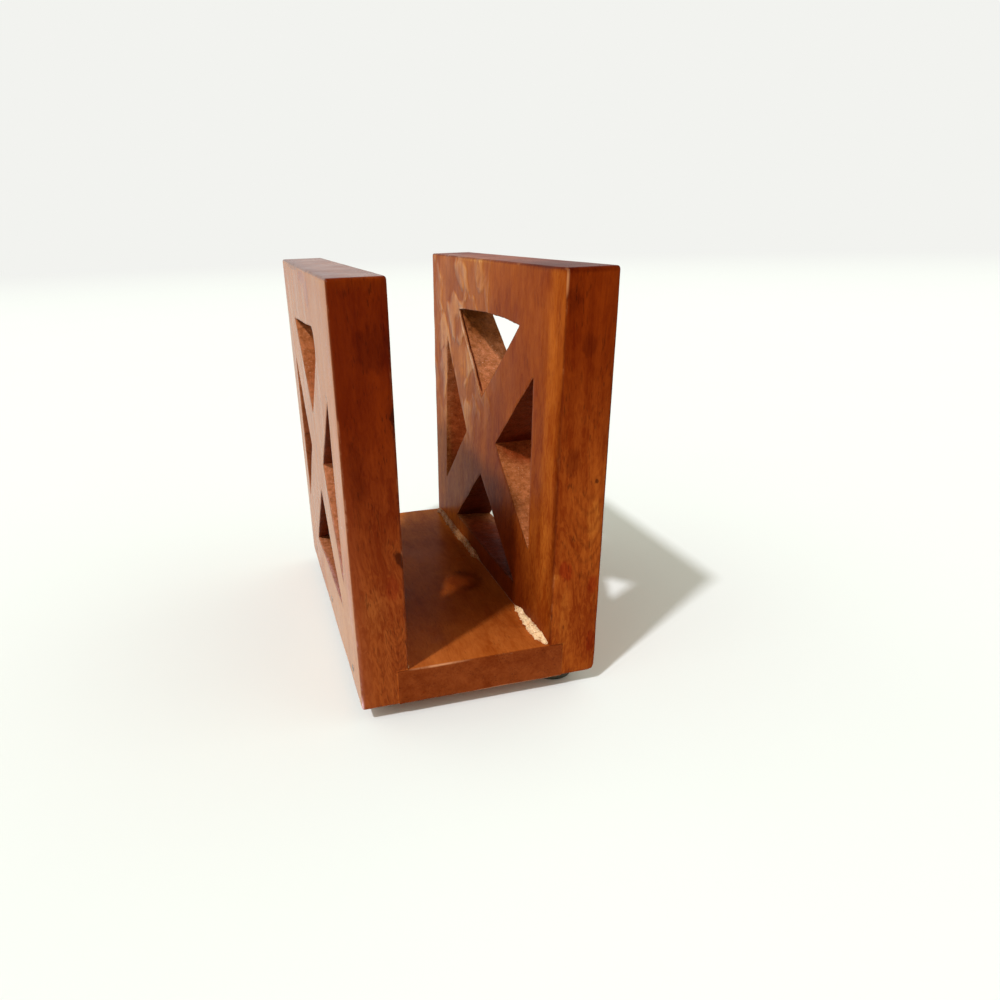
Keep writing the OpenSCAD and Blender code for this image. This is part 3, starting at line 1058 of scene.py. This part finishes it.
right_wood = varnished_wood(
    "right_wood", (-95, 30, 0), (-2, 2, 0), 1.07,
    {
        "Light": (0.48, 0.100, 0.012, 1),
        "Dark": (0.27, 0.036, 0.003, 1),
        "Ring Width": 5.0,
        "Figure": 0.6,
        "Fibres": 0.5,
    },
    {
        "Edge Foot": (0.75, 0.74, 0.70, 1),
        "Edge Top": (0.43, 0.26, 0.12, 1),
        "Tone From": 75.0,
        "Tone To": 132.0,
        "Outer Sheen": (1.15, 1.40, 2.00, 1),
        "Inner": (0.80, 0.89, 0.86, 1),
        "Wear And Highlight": (0.64, 0.26, 0.10, 1),
        "Matt": 0.26,
    },
    [{"Centre": (40.2, -76, 80.8), "Radii": (0.8, 2, 1.0), "Dark": 0.7}],
    [
        stain_and_painted_light((30.7, -76, 48.6), (2.6, 2, 4.2), RED_STAIN, lean=0.2),
        stain_and_painted_light((34.7, -76, 124.9), (3, 2, 4), DARK_STAIN, dark=0.6),
        stain_and_painted_light((28.9, -76, 138), (2.5, 2, 4), DARK_STAIN, dark=0.6),
        stain_and_painted_light((41.1, -76, 41.9), (2, 2, 4), RED_STAIN, dark=0.8),
        stain_and_painted_light((41.9, -76, 19), (2, 2, 5), RED_STAIN, dark=0.8),
        stain_and_painted_light((31, -76, 88), (3, 2, 5), DARK_STAIN, dark=0.6),
        stain_and_painted_light((40.1, -76, 66.9), (3, 2, 8), PALE_STAIN, dark=0.6),
        stain_and_painted_light((31, -76, 26), (2.2, 2, 17), PALE_STAIN, dark=0.35),
        stain_and_painted_light((27, -76, 47.3), (0.9, 2, 1.4), PALE_STAIN),
        # Painted shade along the outer arris of the front edge.
        stain_and_painted_light((44.6, -76, 100), (1.6, 3, 62), PAINTED_ARRIS_SHADE),
        # Painted light: a lighter band where the rolled inner front edge turns towards the light.
        stain_and_painted_light((25, -69, 90), (2, 5, 60), (1.50, 1.85, 2.0), dark=0.6, ragged=SOFT),
        # Painted shade: the lower inner face darkened where it lies in the left panel's shadow.
        stain_and_painted_light((26, -18, 30), (14, 46, 34), (0.40, 0.24, 0.20), dark=0.95, ragged=SOFT),
        # Painted light: a lighter, greener tint on the brace crossing where it lies in shade.
        stain_and_painted_light((25, 42, 50), (3, 46, 34), (1.12, 1.45, 1.3), dark=0.8, ragged=SOFT),
        stain_and_painted_light((25, 28, 106), (2, 9, 8), (1.45, 1.75, 2.0), dark=0.8),
        stain_and_painted_light((25.2, -75.8, 72), (1.4, 2.2, 72), DARK_STAIN, dark=0.75, ragged=0.6),
        # Painted sheen: the back of the top face is made paler.
        stain_and_painted_light((34, 10, 147), (13, 34, 2), (1.5, 2.3, 3.0), dark=0.8),
        stain_and_painted_light((34, -62, 147), (13, 32, 2), (0.55, 0.42, 0.40), ragged=0.6),
        # Painted light: the lit part of the upper triangle's back wall is made lighter.
        stain_and_painted_light((34, 27, 101), (14, 24, 16), (1.22, 1.38, 1.75), ragged=SOFT, sawn=True),
        # Painted shade and painted shadow: sawn walls darkened where they lie in shade, on the lower
        # triangle's bottom, the upper triangle's back wall under its top, the front triangle's lower wall
        # and the back triangle's walls.
        stain_and_painted_light((34, -5, 29), (14, 60, 6), (0.40, 0.14, 0.08), ragged=SOFT, sawn=True),
        stain_and_painted_light((38, 36, 124), (14, 30, 14), (0.44, 0.36, 0.17), ragged=SOFT, sawn=True),
        stain_and_painted_light((41, -18, 78), (17, 14, 8), (0.50, 0.24, 0.12), ragged=SOFT, sawn=True),
        stain_and_painted_light((35, 40, 70), (14, 30, 42), (0.68, 0.38, 0.24), ragged=SOFT, sawn=True),
    ],
    [{"Centre": (38, -76, 60), "Radii": (9, 8, 24), "Bend": 0.25, "Spacing": 6.0}],
    [{"Centre": (25, 40, 118), "Radii": (8, 62, 52)}],
)
finish_piece(side_panel("right_side_panel", 1, RIGHT_SHAPE), "right_side_panel", right_wood)


# --- Base board -------------------------------------------------------------------------
# A planed board about 14 mm thick, grain from front to back. Its long edges lie in the
# rabbets, and its top is the floor that the napkins stand on.
BASE_ARRIS = 0.6 * mm
BASE_ARRIS_WAVE = 9 * mm
BASE_DIP = 0.08 * mm
BASE_DIP_WAVE = 22 * mm
# The first place is a painted highlight along the front top arris; the other two are wear along the bottom
# front edge.
BASE_WEAR_AND_HIGHLIGHT = [(-16, -76, 19.5, 13, 2, 1), (8, -76, 5.5, 22, 2, 1), (27, -76, 5.5, 5, 2, 1)]
base = Board(base_high.z - base_low.z)
outline = [(base_high.x, base_high.y), (base_low.x, base_high.y)]
outline += [(base_low.x, base_low.y), (base_high.x, base_low.y)]
outline = resampled(np.array(outline), EDGE_STEP)
easing = BASE_ARRIS * (1 + 0.35 * wobble(outline, BASE_ARRIS_WAVE, 71))
base.wall(outline, easing, easing, "edge")
points, faces, marks = base.finished()
dip = BASE_DIP * (1 + wobble(points[:, :2] * (1, 0.3), BASE_DIP_WAVE, 75))
dip *= 1 - points[:, 2] / base.thickness
points = np.c_[points[:, :2], base_high.z - points[:, 2] - dip]
marks["wear_and_highlight"] = wear_and_highlight_at(points, BASE_WEAR_AND_HIGHLIGHT) * marks["eased"]
plank = mesh_object("base_plank", points, faces, marks)
base_wood = varnished_wood(
    "base_wood", (20, 40, 0), (90, 0, 0), 1.07,
    {
        "Light": (0.51, 0.134, 0.024, 1),
        "Dark": (0.32, 0.062, 0.007, 1),
        "Ring Width": 5.5,
        "Figure": 0.25,
        "Fibres": 0.45,
    },
    {
        "Edge Foot": (0.49, 0.38, 0.44, 1),
        "Edge Top": (0.49, 0.38, 0.44, 1),
        "Wear And Highlight": (0.62, 0.26, 0.12, 1),
        "Ripple": 0.6,
    },
    [],
    [
        # Painted shade: the top darkened between the panels, where it lies in shade.
        stain_and_painted_light((0, 4, 19.5), (60, 66, 9), (0.58, 0.50, 0.36), dark=0.75, ragged=SOFT),
        # Painted shadow: trims the patch of light that falls through the left panel onto the top.
        stain_and_painted_light((12.5, -14, 19.5), (8, 11, 4), (0.45, 0.32, 0.26), ragged=0.5),
        # Painted sheen: the back of the top is made paler.
        stain_and_painted_light((0, 60, 19.5), (40, 30, 4), (1.38, 1.72, 1.4), dark=0.8, ragged=SOFT),
    ],
    [],
    [],
)
finish_piece(plank, "base_board", base_wood)


# --- Glue beads -------------------------------------------------------------------------
# Glue squeezed out along both inside corners when the boards were clamped, left to harden
# and varnished over. It is lumpy and crusted, and thinner where it was wiped. Its colour
# holds painted shade behind its lit front end.
BEAD_STEP = 0.35 * mm
BEAD_SIDES = 10
BEAD_SUNK = 0.3 * mm
BEAD_TAPER = 4 * mm
BEAD_OVERRUN = 1.6 * mm
BEAD_SWELL = 0.22
LUMPS = ((0.34, 1.5 * mm, 91), (0.20, 0.7 * mm, 93))


def ring_faces(rings, n):
    """Faces between stacked rings of n points each, numbered ring by ring."""
    return [
        (a * n + k, a * n + (k + 1) % n, (a + 1) * n + (k + 1) % n, (a + 1) * n + k)
        for a in range(rings - 1) for k in range(n)
    ]


def glue_bead(node, side, panel, shape, fullness):
    """Sweeps a lumpy quarter round along the corner between a panel and the base.
    fullness is how full it is at some places along Y, in millimetres."""
    low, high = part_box(node)
    leg = high.x - low.x
    y = np.arange(low.y - BEAD_OVERRUN, high.y + BEAD_OVERRUN, BEAD_STEP)
    ends = np.clip(np.minimum(y - y[0], y[-1] - y) / BEAD_TAPER, 0.12, 1) ** 0.5
    thin = np.interp(y / mm, *zip(*fullness)) * ends
    wide = leg * thin * (1 + BEAD_SWELL * wobble(np.c_[y], 5 * mm, side + 81))
    tall = leg * thin * (1 + BEAD_SWELL * wobble(np.c_[y], 6 * mm, side + 85))
    panel_low, panel_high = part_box(panel)
    wall = panel_faces(shape, side, y, y * 0 + base_high.z, panel_low, panel_high)[1]
    rings = [np.c_[wall + side * BEAD_SUNK, y, y * 0 + base_high.z - BEAD_SUNK]]
    rings.append(np.c_[wall - side * wide, y, y * 0 + base_high.z - BEAD_SUNK])
    for i in range(BEAD_SIDES + 1):
        angle = math.pi / 2 * i / BEAD_SIDES
        across, up = wide * math.cos(angle), tall * math.sin(angle)
        spots = np.c_[across, y, up]
        lump = 1 + sum(size * wobble(spots, wave, side + seed) for size, wave, seed in LUMPS)
        rings.append(np.c_[wall - side * across * lump, y, base_high.z + up * lump])
    rings.append(np.c_[wall + side * BEAD_SUNK, y, base_high.z + tall])
    n, m = len(y), len(rings)
    points = np.stack(rings, 1).reshape(-1, 3)
    faces = ring_faces(n, m) + [tuple(range(m)), tuple(range((n - 1) * m, n * m))]
    return mesh_object(node.replace("glue_", ""), points, faces, {})


GLUE_DARK = (0.60, 0.27, 0.10, 1)
GLUE_LIGHT = (0.98, 0.68, 0.38, 1)
GLUE_PIT = (0.34, 0.11, 0.03, 1)
# Colours of painted shade for the bead where it lies in shade.
GLUE_SHADED = (0.16, 0.045, 0.010, 1)
GLUE_SHADE_TINT = (0.44, 0.27, 0.14, 1)

glue, tree, out = new_material("hard_glue")
large = spot_in_mm(tree)
crust = noise_of(stretched(large, 0.7, 0.7), 5.0, 0.65)
clot = noise_of(stretched(large, 2.4, 2.4), 3.0, 0.6)
colour = mixed(ramp(clot, 0.28, 0.48), GLUE_DARK, GLUE_LIGHT)
colour = mixed(ramp(crust, 0.42, 0.32), colour, GLUE_PIT)
along = part_of(large, "Y")
# Painted shade: behind its lit front end the bead is darkened, most in the middle, where it lies in the
# left panel's shadow.
back = ramp(along, -47, -40)
colour = tinted(back, colour, GLUE_SHADE_TINT)
colour = mixed(times(back, ramp(along, 8, 1)), colour, GLUE_SHADED)
shine = times(ramp(clot, 0.45, 0.60), times_plus(back, -0.8, 1.0))
height = times_plus(crust, 0.5, times(clot, 0.4))
feeds = {
    "Base Color": colour,
    "Roughness": ramp(crust, 0.35, 0.65, 0.25, 0.6),
    "IOR": 1.42,
    "Coat Weight": shine,
    "Coat Roughness": 0.12,
    "Coat IOR": 1.42,
}
surface(out, height, feeds)

left_fullness = [(-76, 0.1), (-62, 0.2), (-20, 0.6), (30, 0.9), (76, 0.7)]
right_fullness = [(-76, 1.2), (-60, 1.0), (-47, 0.65), (-42, 0.03), (2, 0.02), (9, 0.9), (76, 0.8)]
left_bead = glue_bead("left_glue_bead", -1, "left_side_panel", LEFT_SHAPE, left_fullness)
right_bead = glue_bead("right_glue_bead", 1, "right_side_panel", RIGHT_SHAPE, right_fullness)
finish_piece(left_bead, "left_glue_bead", glue, math.radians(60))
finish_piece(right_bead, "right_glue_bead", glue, math.radians(60))


# --- Brads ------------------------------------------------------------------------------
# Six steel brads, three a side, driven through the panels into the ends of the base and
# left flush. Each has a flat head, gripping rings under it and a point cut four-sided.
BRAD_SEGMENTS = 24
GRIP_RINGS = 6
GRIP_PITCH = 0.6 * mm
GRIP_DEPTH = 0.06 * mm
POINT_LENGTH = 3.6 * mm
HEAD_DENT = 0.16 * mm


def end_fans(rings, n):
    """Faces that close both ends of stacked rings round two middle points, numbered last."""
    last, middle = (rings - 1) * n, rings * n
    made = []
    for k in range(n):
        made += [(k, (k + 1) % n, middle), (last + k, last + (k + 1) % n, middle + 1)]
    return made


def brad(node, side):
    """Turns a brad about its axis along X, head outwards. Its point is four-sided."""
    low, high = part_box(node)
    axis_y, axis_z = (low.y + high.y) / 2, (low.z + high.z) / 2
    head = (high.y - low.y) / 2
    shank = head * 0.64
    length = high.x - low.x
    sections = [
        (0.14 * mm, head * 0.35, 0), (0.08 * mm, head * 0.7, 0), (0.02 * mm, head * 0.88, 0),
        (0.08 * mm, head * 0.97, 0), (0.25 * mm, head, 0), (0.82 * mm, head, 0),
        (0.98 * mm, head * 0.92, 0), (1.0 * mm, shank * 1.04, 0), (1.6 * mm, shank, 0),
    ]
    for i in range(GRIP_RINGS):
        at = 2 * mm + i * GRIP_PITCH
        sections += [(at, shank, 0), (at + 0.3 * GRIP_PITCH, shank - GRIP_DEPTH, 0)]
    sections += [(2 * mm + GRIP_RINGS * GRIP_PITCH, shank, 0), (length / 2, shank, 0)]
    sections += [(length - POINT_LENGTH, shank, 0), (length - 0.8 * POINT_LENGTH, shank * 0.92, 1)]
    sections += [(length - 0.15 * mm, shank * 0.12, 1)]
    points = []
    outer_x = low.x if side < 0 else high.x
    for depth, radius, squareness in sections:
        for k in range(BRAD_SEGMENTS):
            angle = 2 * math.pi * k / BRAD_SEGMENTS
            square = 1 / (abs(math.cos(angle)) + abs(math.sin(angle)))
            r = radius * (1 + (square - 1) * squareness)
            y, z = axis_y + r * math.cos(angle), axis_z + r * math.sin(angle)
            points.append((outer_x - side * depth, y, z))
    points += [(outer_x - side * HEAD_DENT, axis_y, axis_z), (outer_x - side * length, axis_y, axis_z)]
    stack = len(sections), BRAD_SEGMENTS
    faces = ring_faces(*stack) + end_fans(*stack)
    return mesh_object(node + "_nail", points, faces, {})


STEEL_DARK = (0.20, 0.19, 0.18, 1)
STEEL_LIGHT = (0.36, 0.35, 0.34, 1)
RUST = (0.10, 0.05, 0.03, 1)

steel, tree, out = new_material("brad_steel")
large = spot_in_mm(tree)
scale_of_rust = noise_of(stretched(large, 0.5, 0.5), 4.0, 0.65)
scratch = noise_of(vector_calc("MULTIPLY", large, (1.5, 9, 9)), 2.0)
rust = ramp(scale_of_rust, 0.50, 0.66)
colour = mixed(rust, mixed(scratch, STEEL_DARK, STEEL_LIGHT), RUST)
height = times_plus(rust, 0.05, times(scratch, 0.02))
feeds = {
    "Base Color": colour,
    "Metallic": times_plus(rust, -0.8, 1.0),
    "Roughness": times_plus(rust, 0.35, 0.38),
}
surface(out, height, feeds)

for side, hand in ((-1, "left"), (1, "right")):
    for place_name in ("front", "middle", "back"):
        node = f"{hand}_{place_name}_brad"
        finish_piece(brad(node, side), node, steel)


# --- Felt pads --------------------------------------------------------------------------
# Four round pads cut with a punch from thick wool felt and glued under the corners. Their
# cut edges are fuzzy, and a little squashed where the holder stands on them.
PAD_SEGMENTS = 96
PAD_WALL_RINGS = 14
PAD_FLAT_RINGS = 8
PAD_EDGE = 0.8 * mm
PAD_BULGE = 0.15 * mm
FUZZ = 0.09 * mm


def felt_pad(node, seed):
    """Turns a pad about its upright axis, then fuzzes and bulges its cut edge."""
    low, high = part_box(node)
    middle = (low + high) / 2
    radius = (high.x - low.x) / 2 - 2 * FUZZ
    tall = high.z - low.z
    sections = [(radius * i / PAD_FLAT_RINGS, 0.0) for i in range(1, PAD_FLAT_RINGS)]
    for t in (0, 0.4, 0.8, 1.2):
        sections.append((radius - PAD_EDGE * (1 - math.sin(t)), PAD_EDGE * (1 - math.cos(t))))
    for i in range(PAD_WALL_RINGS + 1):
        share = i / PAD_WALL_RINGS
        bulge = PAD_BULGE * (math.sin(math.pi * share) - 1)
        sections.append((radius + bulge, PAD_EDGE + (tall - PAD_EDGE) * share))
    sections += [(radius * i / PAD_FLAT_RINGS - PAD_BULGE, tall) for i in range(PAD_FLAT_RINGS - 1, 0, -1)]
    rings = []
    for r, z in sections:
        angle = np.arange(PAD_SEGMENTS) * 2 * math.pi / PAD_SEGMENTS
        spots = np.c_[np.cos(angle) * r, np.sin(angle) * r, angle * 0 + z]
        side = min(1, z / PAD_EDGE) if z < tall else 0
        hair = FUZZ * side * (wobble(spots, 0.8 * mm, seed) + 0.8 * wobble(spots, 3 * mm, seed + 1))
        rings.append(spots * np.c_[1 + hair / r, 1 + hair / r, angle * 0 + 1])
    points = np.concatenate(rings + [np.array(((0, 0, 0), (0, 0, tall)))])
    stack = len(rings), PAD_SEGMENTS
    faces = ring_faces(*stack) + end_fans(*stack)
    return mesh_object(node + "_felt", points + np.array((middle.x, middle.y, low.z)), faces, {})


FELT_DARK = (0.030, 0.028, 0.020, 1)
FELT_LIGHT = (0.085, 0.078, 0.056, 1)
FELT_DUST = (0.22, 0.20, 0.16, 1)

felt, tree, out = new_material("wool_felt")
large = spot_in_mm(tree)
hair = noise_of(vector_calc("MULTIPLY", large, (3.2, 3.2, 6.0)), 5.0, 0.7, 1.2)
tuft = noise_of(stretched(large, 1.8, 1.2), 3.0)
dust = ramp(hair, 0.58, 0.72)
colour = mixed(tuft, FELT_DARK, FELT_LIGHT)
colour = mixed(times(dust, 0.5), colour, FELT_DUST)
height = times_plus(hair, 0.25, times(tuft, 0.2))
feeds = {
    "Base Color": colour,
    "Roughness": ramp(hair, 0.3, 0.7, 0.85, 1.0),
    "IOR": 1.3,
    "Sheen Weight": 0.25,
    "Sheen Roughness": 0.5,
    "Sheen Tint": (0.5, 0.47, 0.40, 1),
}
surface(out, height, feeds)

for number, node in enumerate(("front_left_pad", "front_right_pad", "back_left_pad", "back_right_pad")):
    finish_piece(felt_pad(node, 3 * number + 101), node, felt, math.radians(55))
